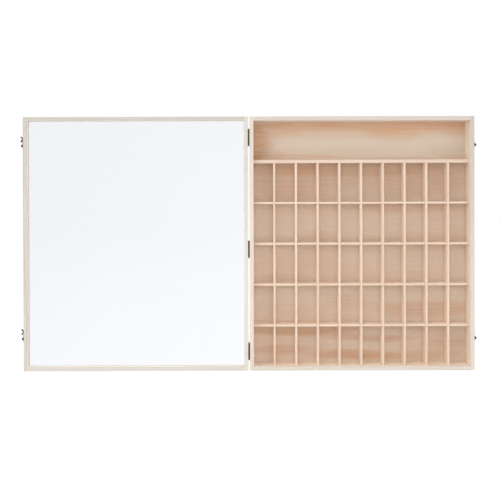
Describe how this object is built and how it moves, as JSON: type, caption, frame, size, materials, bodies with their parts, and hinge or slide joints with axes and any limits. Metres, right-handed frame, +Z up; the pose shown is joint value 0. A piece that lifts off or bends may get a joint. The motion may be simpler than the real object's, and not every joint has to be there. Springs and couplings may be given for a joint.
{
  "type": "minifigure display case",
  "caption": "Wooden display case with a grid of small compartments under one wide compartment, and a glazed door hinged at the left with two hook latches.",
  "frame": {"origin": "centre of the bottom face of the case, on the surface that it stands on", "axes": "+Z up; +X to the right along the front, from the opened door to the case; +Y into the depth, so the open front faces -Y"},
  "size_m": [0.6855, 0.0442, 0.381],
  "materials": {
    "case_pine": "unfinished planed pine",
    "door_pine": "unfinished planed pine",
    "strip_pine": "unfinished planed pine",
    "pine_veneer": "unfinished pine-faced plywood",
    "clear_acrylic": "clear acrylic sheet",
    "hinge_metal": "antiqued",
    "latch_metal": "antiqued",
    "steel_pins": "bright steel"
  },
  "bodies": {
    "case": {"left_side_board": "case_pine", "right_side_board": "case_pine", "top_board": "case_pine", "bottom_board": "case_pine", "back_panel": "pine_veneer", "back_panel_pins": "steel_pins", "top_shelf": "strip_pine", "row_shelf_1": "strip_pine", "row_shelf_2": "strip_pine", "row_shelf_3": "strip_pine", "row_shelf_4": "strip_pine", "divider_1": "strip_pine", "divider_2": "strip_pine", "divider_3": "strip_pine", "divider_4": "strip_pine", "divider_5": "strip_pine", "divider_6": "strip_pine", "divider_7": "strip_pine", "divider_8": "strip_pine", "divider_9": "strip_pine", "hinge_case_leaf_upper": "hinge_metal", "hinge_pin_upper": "hinge_metal", "hinge_case_leaf_middle": "hinge_metal", "hinge_pin_middle": "hinge_metal", "hinge_case_leaf_lower": "hinge_metal", "hinge_pin_lower": "hinge_metal", "hinge_case_screws": "hinge_metal", "catch_plate_upper": "latch_metal", "catch_plate_lower": "latch_metal", "catch_peg_upper": "latch_metal", "catch_peg_lower": "latch_metal", "catch_plate_nails": "latch_metal"},
    "door": {"door_hinge_stile": "door_pine", "door_latch_stile": "door_pine", "door_top_rail": "door_pine", "door_bottom_rail": "door_pine", "acrylic_pane": "clear_acrylic", "hinge_door_leaf_upper": "hinge_metal", "hinge_door_leaf_middle": "hinge_metal", "hinge_door_leaf_lower": "hinge_metal", "hinge_door_screws": "hinge_metal", "latch_plate_upper": "latch_metal", "latch_plate_lower": "latch_metal", "latch_rivet_upper": "latch_metal", "latch_rivet_lower": "latch_metal", "latch_plate_nails": "latch_metal"},
    "upper_hook": {"hook_upper": "latch_metal"},
    "lower_hook": {"hook_lower": "latch_metal"}
  },
  "joints": [
    {"name": "door_hinge", "type": "hinge", "parent": "case", "child": "door", "pos_m": [-0.1697, -0.0217, 0], "axis": [0, 0, 1], "range_deg": [0, 180]},
    {"name": "upper_hook_pivot", "type": "hinge", "parent": "door", "child": "upper_hook", "pos_m": [-0.5079, -0.017, 0.338], "axis": [1, 0, 0], "range_deg": [-180, 90]},
    {"name": "lower_hook_pivot", "type": "hinge", "parent": "door", "child": "lower_hook", "pos_m": [-0.5079, -0.017, 0.0477], "axis": [1, 0, 0], "range_deg": [-180, 90]}
  ]
}
